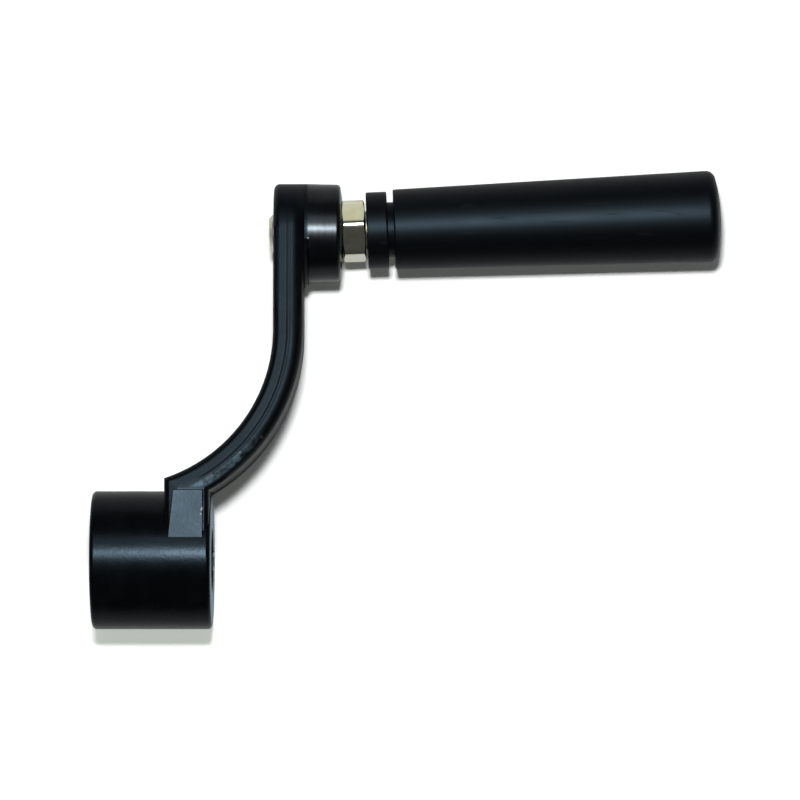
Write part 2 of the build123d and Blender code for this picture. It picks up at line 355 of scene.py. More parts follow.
class Sheet:
    """A material with its node sheet, and one way to add any node to it."""

    def __init__(self, name: str) -> None:
        """Starts an empty sheet with a Principled shader that goes to the output.

        Args:
            name: The material's name.
        """
        self.material = bpy.data.materials.new(name)
        self.material.use_nodes = True
        self.tree = self.material.node_tree
        self.tree.nodes.clear()
        self.shader = self.node("ShaderNodeBsdfPrincipled")
        self.node("ShaderNodeOutputMaterial", {}, {"Surface": self.shader.outputs[0]})
        self.spot = self.add("ShaderNodeTexCoord", output="Object")

    def node(self, kind: str, settings: Settings = None, inputs: Inputs = None) -> bpy.types.Node:
        """Adds a node.

        Args:
            kind: The node's Blender type.
            settings: Its own properties, which are set first.
            inputs: Numbers, colours, sockets or signals for its inputs, by name or number.

        Returns:
            The new node.
        """
        made = self.tree.nodes.new(kind)
        for name, value in (settings or {}).items():
            setattr(made, name, value)
        for key, value in (inputs or {}).items():
            if isinstance(value, Signal):
                value = value.socket
            if isinstance(value, bpy.types.NodeSocket):
                self.tree.links.new(value, made.inputs[key])
            else:
                made.inputs[key].default_value = value
        return made

    def add(
        self, kind: str, settings: Settings = None, inputs: Inputs = None, output: Key = 0
    ) -> Signal:
        """Adds a node, as node() does, and returns one of its outputs as a signal."""
        return Signal(self, self.node(kind, settings, inputs).outputs[output])

    def vector(self, operation: str, first: Any, second: Any, output: str = "Vector") -> Signal:
        """Adds a Vector Math node on two vectors and returns the output with that name."""
        inputs = {0: first, 1: second}
        return self.add("ShaderNodeVectorMath", {"operation": operation}, inputs, output)

    def height(self, origin: Sequence[float], direction: Sequence[float]) -> Signal:
        """Distance past a point in a direction: the dot product of the offset and the direction."""
        offset = self.vector("SUBTRACT", self.spot, tuple(origin))
        return self.vector("DOT_PRODUCT", offset, tuple(direction), "Value")

    def off_line(self, origin: Sequence[float], direction: Sequence[float]) -> Signal:
        """Distance from a line: the length of the offset's cross product with its direction."""
        offset = self.vector("SUBTRACT", self.spot, tuple(origin))
        across = self.vector("CROSS_PRODUCT", offset, tuple(direction))
        return self.vector("LENGTH", across, (0.0, 0.0, 0.0), "Value")

    def off_point(self, point: Sequence[float]) -> Signal:
        """Distance from a point."""
        return self.vector("DISTANCE", self.spot, tuple(point), "Value")

    def grain(self, size: float, detail: float = 2.0, stretch: Colour = (1.0, 1.0, 1.0)) -> Signal:
        """Smooth noise.

        Args:
            size: Size of its grains, in metres.
            detail: Finer layers on top.
            stretch: How much faster it runs along each axis.

        Returns:
            A signal round one half.
        """
        spot = self.vector("MULTIPLY", self.spot, stretch)
        inputs = {"Vector": spot, "Scale": 1 / size, "Detail": detail, "Roughness": 0.55}
        return self.add("ShaderNodeTexNoise", {}, inputs, "Fac")

    def blend(self, mask: Amount, under: Any, over: Any) -> Signal:
        """Colour that goes from under to over as the mask rises; colours have three parts."""
        ends = {6: under, 7: over}
        rgba = {k: (*c, 1.0) if isinstance(c, tuple) else c for k, c in ends.items()}
        return self.add("ShaderNodeMix", {"data_type": "RGBA"}, {0: mask, **rgba}, 2)

    def relief(self, height: Signal) -> Signal:
        """Normal of a surface that is raised by this height, in metres."""
        return self.add("ShaderNodeBump", {}, {"Strength": 1.0, "Distance": 1.0, "Height": height})

    def dress(self, **inputs: Any) -> bpy.types.Material:
        """Sets the Principled shader's inputs, with _ for a space in their names.

        Args:
            inputs: Numbers, colours or signals.

        Returns:
            The material.
        """
        for name, value in inputs.items():
            socket = self.shader.inputs[name.replace("_", " ")]
            if isinstance(value, Signal):
                self.tree.links.new(value.socket, socket)
            else:
                socket.default_value = (*value, 1.0) if isinstance(value, tuple) else value
        return self.material


# ---- finishes


@dataclass(frozen=True)
class Chip:
    """A spot where the paint has gone.

    Attributes:
        place: Its middle, in metres.
        size: About how far it reaches from there.
        bare: How much of the metal shows, from 0 to 1.
    """

    place: Triple
    size: float
    bare: float


@dataclass(frozen=True)
class MachinedZones:
    """Where a tool has cut the painted casting back to bare metal.

    Attributes:
        handle: The handle's axis.
        hub: First and last place of the hub's faces along +X.
        bore_radius: Radius of the bore.
        set_screw: Place of the set screw's hole along +X.
        seat: Station of the nut's seat on the handle's axis.
        hub_face_radius: Radius of the hub's faces within their painted rims.
        keyway: Half its width, and its floor's distance from the hub's axis.
        hole_radius: Radius of the set screw's hole, and of the cap screw's.
        seat_radius: Radius of the nut's seat.
        in_holes: How much metal shows in the bore and the set screw's hole, and in the cap
            screw's hole.
        edge: Width over which the paint ends on the hub's faces.
        skin: Width over which it ends elsewhere.
        ragged: Size of the grains of that edge, and how far they reach.
    """

    handle: Axle
    hub: Pair
    bore_radius: float
    set_screw: float
    seat: float
    hub_face_radius: float = 19.7 * MM
    keyway: Pair = (3.0 * MM, 11.8 * MM)
    hole_radius: Pair = (3.05 * MM, 6.05 * MM)
    seat_radius: float = 10.9 * MM
    in_holes: Pair = (0.2, 0.35)
    edge: float = 0.12 * MM
    skin: float = 0.05 * MM
    ragged: Pair = (0.8 * MM, 0.5 * MM)

    def mask(self, sheet: Sheet) -> Signal:
        """Mask of the bare metal.

        Args:
            sheet: The casting's node sheet.

        Returns:
            1 on the hub's faces and on the nut's seat, less in the holes, and 0 in the keyway.
        """
        skin = self.skin
        grain_size, grain_reach = self.ragged
        x = sheet.height(DATUM, BORE)
        up, (set_hole, cap_hole) = self.handle.up, self.hole_radius
        across = sheet.height(DATUM, np.cross(up, BORE))
        rise = sheet.height(DATUM, up)
        off_bore = sheet.off_line(DATUM, BORE)
        ragged = (sheet.grain(grain_size) - 0.5) * grain_reach
        ends = x.above(self.hub[1] - skin, skin) | x.below(self.hub[0] + skin, skin)
        faces = ends * (off_bore + ragged).below(self.hub_face_radius, self.edge)
        bore = off_bore.below(self.bore_radius + skin, skin)
        slot = abs(across).below(self.keyway[0] + skin, skin)
        slot = slot * rise.above(-self.keyway[1] - skin, skin) * rise.below(0.0, skin)
        slot = slot * off_bore.below(self.keyway[1] + 2 * skin, skin)
        hole = sheet.off_line((self.set_screw, 0.0, 0.0), up)
        hole = hole.below(set_hole + skin, skin) * rise.below(0.0, skin)
        hole = hole * across.below(self.hub_face_radius, skin)
        off_handle = sheet.off_line(self.handle.origin, self.handle.direction)
        station = sheet.height(self.handle.origin, self.handle.direction)
        seat = station.above(self.seat - skin, skin)
        seat = seat * off_handle.below(self.seat_radius + skin, skin)
        tapped = off_handle.below(cap_hole + skin, skin)
        in_bore, in_thread = self.in_holes
        painted_slot = 1 - slot
        holes = (bore | hole) * in_bore * painted_slot
        return faces * painted_slot | holes | seat | tapped * in_thread


@dataclass(frozen=True)
class ArmForm:
    """The arm's narrow sides: drafted facets, rounded edges and a parting line.

    The arm runs straight up to the boss and bends towards the hub round one centre. All of it
    is shading on the modelled sides: it tilts their normals and moves no point of them.

    Attributes:
        forward: Unit vector along the arm.
        up: Square to the crank's flat plane.
        throw: Distance of the boss's axis from the hub's, along the arm.
        back: The arm's broad face on the machine's side, along +X.
        thickness: The arm's thickness.
        bend: Radius of that face's bend, and where the bend ends, along the arm.
        boss_radius: Radius of the boss.
        side_lean: Lean of the narrow sides, in degrees.
        start: Where the arm leaves the root, along the arm.
        fall: How much each facet falls for each unit of width.
        rounding: How far the edges' rounding reaches in from the two broad faces.
        curve: Radius of that rounding.
        far_fall: How much more the facet on the handle's side falls.
        line: Place, half width and depth of the parting line.
        carry_limit: Most height that carries the side on to the boss.
        facets_reach: Where the facets set in, along the arm, and how softly.
        fillet_fall: Fall of the boss's fillet for each unit past the arm, and its length.
    """

    forward: Triple
    up: Triple
    throw: float = 100.0 * MM
    back: float = 54.1 * MM
    thickness: float = 9.0 * MM
    bend: Pair = (47.6 * MM, 69.5 * MM)
    boss_radius: float = 15.0 * MM
    side_lean: float = 3.0
    start: float = 24.0 * MM
    fall: float = 0.075
    rounding: Pair = (2.0 * MM, 3.0 * MM)
    curve: float = 4.0 * MM
    far_fall: float = 0.055
    line: Triple = (4.7 * MM, 0.50 * MM, 0.17 * MM)
    carry_limit: float = 1.1 * MM
    facets_reach: Pair = (74 * MM, 12 * MM)
    fillet_fall: Pair = (0.5, 3 * MM)

    @property
    def front(self) -> float:
        """The arm's broad face on the handle's side, along +X."""
        return self.back + self.thickness

    def x(self, sheet: Sheet) -> Signal:
        """Place along the bore."""
        return sheet.height(DATUM, BORE)

    def along(self, sheet: Sheet) -> Signal:
        """Place along the arm."""
        return sheet.height(DATUM, self.forward)

    def width(self, sheet: Sheet) -> Signal:
        """Distance in from the broad face on the machine's side, square to the bend.

        Args:
            sheet: The casting's node sheet.

        Returns:
            The distance.
        """
        radius, end = self.bend
        off_x = self.x(sheet) - (self.back - radius)
        short = (end - self.along(sheet)) | 0.0
        return (off_x * off_x + short * short).root() - radius

    def on_arm(self, sheet: Sheet) -> Signal:
        """Mask of the arm with its band round the boss, up to the broad faces' edges."""
        front = self.x(sheet).below(self.front + 0.3 * MM, 0.4 * MM)
        return self.along(sheet).above(self.start, 3 * MM) * front

    def fillet(self, sheet: Sheet) -> Signal:
        """Mask of what stands out of the boss's round: the fillet and the arm's end."""
        boss = (0.0, *(self.throw * np.array(self.forward))[1:])
        off_boss = sheet.off_line(boss, BORE)
        return off_boss.above(self.boss_radius + 0.1 * MM, 0.1 * MM)

    def carried(self, sheet: Sheet) -> Signal:
        """Height that carries the arm's flat side on to the boss, as far as its line of touch.

        Args:
            sheet: The casting's node sheet.

        Returns:
            The height in metres.
        """
        lean = float(np.radians(self.side_lean))
        rise = abs(sheet.height(DATUM, self.up))
        ahead = self.along(sheet) - self.throw
        off_plane = self.boss_radius - rise * float(np.cos(lean)) - ahead * float(np.sin(lean))
        touch = self.boss_radius * float(np.sin(lean))
        return ((off_plane | 0.0) & self.carry_limit) * ahead.below(touch, 1 * MM)

    def height(self, sheet: Sheet) -> Signal:
        """Height of the finer form on the modelled one: edges, parting line, facets and fillet.

        Args:
            sheet: The casting's node sheet.

        Returns:
            The height in metres.
        """
        width = self.width(sheet)
        near, far = self.rounding
        at_back = (near - width) | 0.0
        at_front = (width - (self.thickness - far)) | 0.0
        edges = (at_back * at_back + at_front * at_front) / (2 * self.curve)
        place, half, depth = self.line
        line = abs(width - place).below(half, 2 * half) * depth
        facets = abs(width - self.thickness / 2) * self.fall
        at_boss = self.along(sheet).above(*self.facets_reach)
        far = ((width - self.thickness / 2) | 0.0) * self.far_fall
        finer = (self.carried(sheet) - facets) * at_boss - edges - line - far
        steepness, length = self.fillet_fall
        past = ((self.x(sheet) - self.front) | 0.0) & length
        return finer * self.on_arm(sheet) - past * self.fillet(sheet) * steepness


@dataclass(frozen=True)
class CastPaint:
    """Black enamel on a sand casting, with bare metal where a tool has cut it.

    Attributes:
        zones: The machined places.
        form: The arm's narrow sides.
        chips: The places that have lost their paint.
        colour: The enamel.
        dust: The enamel where dust has settled.
        streak_tone: The enamel in the rubbed streaks near the root, made pale blue as a painted
            highlight.
        sheen_streak_reach: Where the rubbed streaks and their painted highlight begin and end,
            along the arm.
        sheen_streak_place: Where they begin and end across the arm's narrow side.
        sheen: Colour of the enamel's gloss.
        gloss: Roughness of the hub, of the pad and of the arm's cast sides.
        arm: Where the arm's cast sides begin, along the arm.
        pad: Where the pad begins along the bore, along the arm and above the crank's plane.
        level: Strength of the enamel's gloss.
        polish: Roughness and strength of the second coat on the boss.
        polish_start: Where the second coat begins, along the bore.
        polish_streaks: Least weight of the second coat, and how much its streaks add.
        metal: Bare iron.
        worn_metal: Bare iron that has dulled.
        grain_size: Size of the casting's pebbles.
        grain_height: Height of the pebbles.
        feed: Width and height of the marks that turning left on the bare faces.
        bands: Widths of the rings in their shine, whose product is what shows.
    """

    zones: MachinedZones
    form: ArmForm
    chips: tuple[Chip, ...]
    colour: Colour = (0.0012, 0.0015, 0.0017)
    dust: Colour = (0.0035, 0.0046, 0.0054)
    # Painted highlight: pale blue put into the enamel's colour on the rubbed streaks, standing in
    # for their sheen.
    streak_tone: Colour = (0.080, 0.120, 0.150)
    sheen_streak_reach: Pair = (21.5 * MM, 36.0 * MM)
    sheen_streak_place: Pair = (5.2 * MM, 7.4 * MM)
    sheen: Colour = (0.54, 0.78, 1.0)
    gloss: Triple = (0.273, 0.315, 0.43)
    arm: float = 21.2 * MM
    pad: Triple = (22.0 * MM, 4.5 * MM, 18.5 * MM)
    level: float = 0.115
    polish: Pair = (0.27, 0.32)
    polish_start: float = 64.5 * MM
    polish_streaks: Pair = (0.55, 0.9)
    metal: Colour = (0.42, 0.42, 0.40)
    worn_metal: Colour = (0.25, 0.26, 0.26)
    grain_size: float = 1.1 * MM
    grain_height: float = 0.030 * MM
    feed: Pair = (0.22 * MM, 0.002 * MM)
    bands: Pair = (1.3 * MM, 0.57 * MM)

    def spots(self, sheet: Sheet) -> Amount:
        """Mask of the chips, with ragged outlines.

        Args:
            sheet: The casting's node sheet.

        Returns:
            How bare each place is, from 0 to 1.
        """
        ragged = sheet.grain(0.5 * MM, 3.0)
        found: Amount = 0.0
        for spot in self.chips:
            reach = sheet.off_point(spot.place) + (ragged - 0.5) * (spot.size * 1.6)
            found = reach.below(spot.size * 0.7, spot.size * 0.5) * spot.bare | found
        return found

    def scuffs(self, sheet: Sheet) -> Signal:
        """Mask of the rubbed stretch on the arm's outer facet, near the root, where the enamel is
        glossier and takes a painted highlight.

        Args:
            sheet: The casting's node sheet.

        Returns:
            Streaks that are strongest near the root and thin out along the arm.
        """
        start, end = self.sheen_streak_reach
        inner, outer = self.sheen_streak_place
        along, width = self.form.along(sheet), self.form.width(sheet)
        thinned = 1 - (along - start) / (1.6 * (end - start))
        there = along.above(start, 1.5 * MM) * thinned
        there = there * along.below(end, 6 * MM)
        across = width.above(inner, 1.6 * MM) * width.below(outer, 1.2 * MM)
        streaks = sheet.grain(2.4 * MM, 4.0).above(0.50, 0.45)
        return there * across * streaks

    def second_coat(self, sheet: Sheet) -> Signal:
        """Weight of the boss's second coat, which the brush has left in streaks round it.

        Args:
            sheet: The casting's node sheet.

        Returns:
            The weight, on the boss forward of the arm only.
        """
        streaks = sheet.grain(0.9 * MM, 2.0, (1.0, 0.12, 0.12))
        on_boss = self.form.x(sheet).above(self.polish_start, 0.8 * MM)
        on_boss = on_boss * (1 - self.form.fillet(sheet))
        least, more = self.polish_streaks
        return on_boss * (least + more * (streaks - 0.25)) * self.polish[1]

    def material(self) -> bpy.types.Material:
        """Builds the enamel, its wear, the painted highlight on its rubbed streaks and the bare
        metal in one material.
        """
        sheet = Sheet("cast_enamel")
        bare = self.zones.mask(sheet)
        shown = bare | self.spots(sheet)
        # Mask of the rubbed streaks: glossier enamel, and a painted highlight in its colour.
        rubbed = self.scuffs(sheet)
        pebbles = sheet.grain(self.grain_size, 3.0)
        peel = sheet.grain(self.grain_size * 0.3, 2.0)
        cloud = sheet.grain(9 * MM, 3.0)
        paint = sheet.blend(cloud.above(0.58, 0.3) * 0.5, self.colour, self.dust)
        # Painted highlight: the rubbed streaks turn pale blue in the enamel's colour.
        paint = sheet.blend(rubbed, paint, self.streak_tone)
        hub, pad, arm = self.gloss
        x = self.form.x(sheet)
        rise = sheet.height(DATUM, self.zones.handle.up)
        along = self.form.along(sheet)
        on_arm = along.above(self.arm, 0.6 * MM) * x.below(self.polish_start, 0.8 * MM)
        on_pad = x.above(self.pad[0], 0.2 * MM) * along.above(self.pad[1], 0.4 * MM)
        on_pad = on_pad * rise.above(self.pad[2], 0.2 * MM) * along.below(self.arm, 0.6 * MM)
        gloss = on_arm * (arm - hub) + on_pad * (pad - hub) + hub
        roughness = gloss * (1 - rubbed * 0.15) + (cloud - 0.5) * 0.12 + (peel - 0.5) * 0.08
        off_bore = sheet.off_line(DATUM, BORE)
        rings = off_bore * (tau / self.feed[0])
        scratch = sheet.grain(0.5 * MM, 3.0, (1.0, 4.0, 1.0))
        broad, narrow = ((off_bore * (tau / width)).sine() for width in self.bands)
        turned = broad * narrow
        metal = sheet.blend(scratch + turned * 0.3, self.worn_metal, self.metal)
        grains = (pebbles * 0.7 + peel * 0.3) * self.grain_height * (1 - shown)
        marks = rings.sine() * self.feed[1] * bare
        return sheet.dress(
            Base_Color=sheet.blend(shown, paint, metal),
            Metallic=shown,
            Roughness=roughness * (1 - shown) + (scratch * 0.2 + 0.24) * shown,
            Specular_IOR_Level=self.level,
            Specular_Tint=self.sheen,
            Coat_Weight=self.second_coat(sheet) * (1 - shown),
            Coat_Roughness=self.polish[0],
            Normal=sheet.relief(grains + marks + self.form.height(sheet)),
        )


@dataclass(frozen=True)
class PlatedSteel:
    """Bright zinc on steel, a little yellow in places and dull where it was touched.

    Attributes:
        name: The material's name.
        bright: The plating where it is clean.
        warm: The plating where it has yellowed.
        roughness: Least and most roughness.
    """

    name: str
    bright: Colour = (0.82, 0.83, 0.80)
    warm: Colour = (0.80, 0.77, 0.56)
    roughness: Pair = (0.20, 0.40)

    def material(self) -> bpy.types.Material:
        """Builds the plating with its tint, its dull spots and its drawing marks."""
        sheet = Sheet(self.name)
        tint = sheet.grain(5 * MM, 2.0).above(0.50, 0.25)
        dull = sheet.grain(1.6 * MM, 4.0)
        lines = sheet.grain(0.25 * MM, 2.0, (0.15, 1.0, 1.0))
        low, high = self.roughness
        return sheet.dress(
            Base_Color=sheet.blend(tint, self.bright, self.warm),
            Metallic=1.0,
            Roughness=dull * (high - low) + low,
            Normal=sheet.relief((lines * 0.6 + dull * 0.4) * (0.005 * MM)),
        )


@dataclass(frozen=True)
class MouldedPlastic:
    """Black moulded plastic with a fine sparked skin, rubbed smooth where the hand turns it.

    Attributes:
        name: The material's name.
        colour: The plastic.
        streak_tone: The plastic where it is scratched.
        sheen: Colour of its gloss.
        roughness: Roughness of the rubbed and of the fresh skin.
        level: Strength of its gloss.
    """

    name: str
    colour: Colour = (0.0014, 0.0016, 0.0018)
    streak_tone: Colour = (0.0050, 0.0060, 0.0070)
    sheen: Colour = (0.54, 0.78, 1.0)
    roughness: Pair = (0.40, 0.48)
    level: float = 0.14

    def material(self) -> bpy.types.Material:
        """Builds the skin, its rubbed patches and its fine scuffs."""
        sheet = Sheet(self.name)
        skin = sheet.grain(0.35 * MM, 2.0)
        patches = sheet.grain(14 * MM, 3.0)
        scuffs = sheet.grain(1.2 * MM, 4.0, (0.10, 1.0, 1.0)).above(0.66, 0.10)
        low, high = self.roughness
        return sheet.dress(
            Base_Color=sheet.blend(scuffs * 0.55, self.colour, self.streak_tone),
            Roughness=patches * (high - low) + low + scuffs * 0.10,
            Specular_IOR_Level=self.level,
            Specular_Tint=self.sheen,
            Normal=sheet.relief(skin * (0.010 * MM)),
        )


@dataclass(frozen=True)
class BlackenedSteel:
    """Steel blackened in hot salts and oiled.

    Attributes:
        name: The material's name.
        colour: The black skin.
        rubbed: Where steel shines through.
    """

    name: str
    colour: Colour = (0.030, 0.030, 0.032)
    rubbed: Colour = (0.18, 0.18, 0.18)

    def material(self) -> bpy.types.Material:
        """Builds the skin with its rubbed places."""
        sheet = Sheet(self.name)
        grain = sheet.grain(0.6 * MM, 4.0)
        return sheet.dress(
            Base_Color=sheet.blend(grain.above(0.62, 0.2), self.colour, self.rubbed),
            Metallic=0.85,
            Roughness=grain * 0.25 + 0.28,
            Normal=sheet.relief(grain * (0.008 * MM)),
        )


def repaint(node: str, material: bpy.types.Material) -> bpy.types.Object:
    """Gives a CAD node a finish in place of its plain one.

    Args:
        node: The node's name.
        material: The finish.

    Returns:
        The node's object.
    """
    piece = frame["nodes"][node]
    for slot in piece.material_slots:
        slot.material = material
    log.info("%s: %s", node, material.name)
    return piece


def fit(piece: bpy.types.Object, node: str, body: str, finish: Any) -> None:
    """Puts a new piece in a CAD node's place.

    Args:
        piece: The new piece.
        node: The node that it stands for.
        body: The body that it moves with.
        finish: A finish with a material() method.
    """
    piece.data.materials.append(finish.material())
    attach(piece, body)
    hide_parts(node)
    log.info("%s: %d faces", piece.name, len(piece.data.polygons))


# ---- sub-assemblies


@dataclass
class Casting:
    """The crank arm: hub, arm and boss in one painted casting.

    Attributes:
        handle: The handle's axis.
        mouth_chamfer: Width of the chamfers at the bore's mouths.
    """

    handle: Axle
    mouth_chamfer: float = 1.0 * MM

    @property
    def forward(self) -> Array:
        """Unit vector along the arm, in the crank's flat plane."""
        return np.cross(self.handle.up, BORE)

    def form(self) -> ArmForm:
        """Works out the arm's narrow sides."""
        forward, up = (tuple(float(v) for v in way) for way in (self.forward, self.handle.up))
        return ArmForm(forward, up)

    def zones(self) -> MachinedZones:
        """Works out the machined places from the record's bore and the CAD nodes."""
        bore = next(m for m in frame["record"]["mounts"] if m["kind"] == "bore")
        radius, length = bore["dims"]["r_mm"] * MM, bore["dims"]["length_mm"] * MM
        screw = (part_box("set_screw")[0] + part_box("set_screw")[1]) / 2
        return MachinedZones(
            handle=self.handle,
            hub=(-self.mouth_chamfer, length + self.mouth_chamfer),
            bore_radius=radius,
            set_screw=screw.x,
            seat=self.handle.reach("lock_nut")[0],
        )

    def on_top(self, x: float, y: float, half_width: float) -> Triple:
        """Triple on the upper side of the arm.

        Args:
            x: Millimetres along the bore.
            y: Millimetres along the arm, in the crank's flat plane.
            half_width: Height of the arm's side above that plane, in millimetres.

        Returns:
            The point in metres, in the row's frame.
        """
        point = np.array([x, 0.0, 0.0]) + y * self.forward + half_width * self.handle.up
        return tuple(float(v) for v in point * MM)

    def chips(self) -> tuple[Chip, ...]:
        """The spots that have lost their paint: the pad's edge, and the arm above the root."""
        return (
            Chip(self.on_top(33.2, 15.0, 19.6), 0.75 * MM, 0.30),
            Chip(self.on_top(32.6, 13.4, 19.7), 0.40 * MM, 0.20),
            Chip(self.on_top(50.9, 36.6, 17.9), 0.55 * MM, 0.16),
            Chip(self.on_top(44.3, 32.0, 18.1), 0.55 * MM, 0.12),
        )

    def build(self) -> None:
        """Dresses the casting."""
        paint = CastPaint(self.zones(), self.form(), self.chips())
        repaint("crank_arm", paint.material())


class Head(Enum):
    """How a socket screw ends."""

    CAP = "cylinder head on a plain shank"
    GRUB = "no head, threaded throughout, with a cup point"


@dataclass
class SocketScrew:
    """A screw with a hexagon socket and a cut thread.

    Attributes:
        name: The new piece's name.
        node: The CAD node that it replaces.
        axle: Its axis, which runs from the tip to the socket.
        head: What end it has.
        radius: Outside radius of the thread.
        pitch: Distance between the turns of the thread.
        threaded: Threaded length from the tip.
        head_radius: Radius of the head.
        head_height: Height of the head.
        socket_flats: Width of the socket across flats.
        socket_depth: Depth of the socket.
        ribs: Ribs of the knurl round the head.
        columns: Points round the screw, a multiple of six.
        rows_to_pitch: Rows of points to each pitch of the thread.
        slot: The record's material slot; not used.
        fillet: Rounding under the head, and of the head's bearing face.
        knurl: Depth of the knurl.
    """

    name: str
    node: str
    axle: Axle
    head: Head
    radius: float
    pitch: float
    threaded: float
    head_radius: float
    head_height: float
    socket_flats: float
    socket_depth: float
    ribs: int = 36
    columns: int = 144
    rows_to_pitch: int = 12
    slot: str = "bright_steel"
    fillet: float = 0.4 * MM
    knurl: float = 0.25 * MM

    @property
    def thread_depth(self) -> float:
        """Depth of the thread: 0.61 of its pitch."""
        return 0.61 * self.pitch

    def angles(self) -> Array:
        """Angles of the points round the screw, from up."""
        return np.arange(self.columns) * (tau / self.columns)

    def thread(self, tip: float) -> tuple[Array, Array]:
        """Works out the threaded length.

        A cone cuts it at the tip, the first pitch is plain, and the thread fades out at the end.

        Args:
            tip: Station of the tip.

        Returns:
            Stations and radii, as rows by points round the screw.
        """
        rows = int(round(self.threaded / self.pitch * self.rows_to_pitch)) + 1
        past_tip = np.linspace(0.0, self.threaded, rows)[:, None]
        turns = past_tip / self.pitch - self.angles()[None, :] / tau
        left = np.clip((self.threaded - past_tip) / self.pitch, 0.0, 1.0)
        left = left * np.clip(past_tip / self.pitch - 1.0, 0.0, 1.0)
        radius = self.radius - thread_fall(turns, self.thread_depth) * left
        cone = self.radius - self.thread_depth + past_tip
        return tip + past_tip + 0 * radius, np.minimum(radius, cone)

    def rings(self) -> Array:
        """Carries the screw's outline from the middle of the tip to the socket's floor.

        Returns:
            Points, as rings by points round a ring by three coordinates.
        """
        tip, end = self.axle.reach(self.node)
        angles = self.angles()
        plain = np.ones_like(angles)
        socket = hexagon(angles, self.socket_flats)
        mouth = self.socket_flats / 2 / np.cos(pi / 6) + 0.05 * self.radius
        core = self.radius - self.thread_depth
        chamfer = 0.1 * self.radius
        stations, radii = self.thread(tip)
        if self.head is Head.GRUB:
            lead = [(tip + 0.5 * core, 0 * plain), (tip, 0.75 * core * plain)]
            rim = [(end, core * plain)]
            radii = np.minimum(radii, core + end - stations)
        else:
            lead = [(tip, 0 * plain)]
            shoulder = end - self.head_height
            ribs = np.abs((angles * self.ribs / tau) % 1.0 - 0.5) * 2
            knurl = self.head_radius - self.knurl * ribs
            foot = shoulder + chamfer
            rim = [
                (shoulder - self.fillet, self.radius * plain),
                (shoulder, (self.radius + self.fillet) * plain),
                (shoulder, (self.head_radius - self.fillet) * plain),
                (foot, knurl),
                (end - 2 * chamfer, knurl),
                (end - chamfer, self.head_radius * plain),
                (end, (self.head_radius - chamfer) * plain),
            ]
        floor = end - self.socket_depth
        tail = [
            (end, mouth * plain),
            (end - 0.3 * (mouth - self.socket_flats / 2), socket),
            (floor, socket),
            (floor, 0.8 * self.socket_flats / 2 * plain),
            (floor - 0.2 * self.socket_flats, 0 * plain),
        ]
        before = [np.full(self.columns, s) for s, _ in lead]
        after = [np.full(self.columns, s) for s, _ in rim + tail]
        station = np.vstack(before + [stations] + after)
        radius = np.vstack([r for _, r in lead] + [radii] + [r for _, r in rim + tail])
        return self.axle.place(station, radius, np.broadcast_to(angles, radius.shape))

    def build(self, finish: Any) -> None:
        """Makes the screw and fits it in place of the plain one."""
        piece = solid_of_rings(self.name, self.rings(), Ends.POLES)
        fit(piece, self.node, "crank", finish)


@dataclass
class LockNut:
    """The thin nut that locks the cap screw in the boss.

    Attributes:
        axle: The handle's axis.
        flats: Width across flats.
        bore: Radius of its hole.
        inset: Distance of the end faces' rims from the flats.
        turn: How far it is turned from the plain one, in radians.
        chamfer_rise: Rise of the corners' cone for each unit of radius.
        edge: Width of the rounding of the edges.
        crease: Edges that turn by more than this many degrees are rounded.
        mouth: Width of the chamfers at the hole's mouths.
        columns: Points round the nut, a multiple of six.
        rows: Rows of points on each chamfer.
    """

    axle: Axle
    flats: float = 17.5 * MM
    bore: float = 6.05 * MM
    inset: float = 0.30 * MM
    turn: float = 0.127
    chamfer_rise: float = 0.35
    edge: float = 0.12 * MM
    crease: float = 24.0
    mouth: float = 0.6 * MM
    columns: int = 288
    rows: int = 5

    def rings(self) -> Array:
        """Carries the nut's outline from the hole over both end faces.

        A cone that starts at each end face's rim cuts the corners in arcs.

        Returns:
            Points, as rings by points round a ring by three coordinates.
        """
        low, high = self.axle.reach("lock_nut")
        _, corner = self.axle.farthest("lock_nut")
        angles = np.arange(self.columns) * (tau / self.columns)
        side = rounded_hexagon(angles, self.flats)
        rim = self.flats / 2 - self.inset
        share = np.linspace(0.0, 1.0, self.rows)[:, None]
        cone_radius = rim + (side - rim) * share
        cone_fall = (cone_radius - rim) * self.chamfer_rise
        flat = np.ones((1, self.columns))
        hole = [self.bore * flat, (self.bore + self.mouth) * flat]
        radius = np.vstack([hole[0], hole[1], cone_radius, cone_radius[::-1], hole[1], hole[0]])
        bottom = [(low + self.mouth) * flat, low * flat, low + cone_fall]
        top = [high - cone_fall[::-1], high * flat, (high - self.mouth) * flat]
        station = np.vstack(bottom + top)
        turned = np.broadcast_to(angles + corner + self.turn, radius.shape)
        return self.axle.place(station, radius, turned)

    def build(self, finish: Any) -> None:
        """Makes the nut and fits it in place of the plain one."""
        piece = solid_of_rings("nut_thin_hexagon", self.rings(), Ends.JOINED, self.crease)
        rounding = piece.modifiers.new("edges", "BEVEL")
        rounding.width = self.edge
        rounding.segments = 2
        rounding.limit_method = "ANGLE"
        rounding.angle_limit = np.radians(self.crease)
        fit(piece, "lock_nut", "crank", finish)


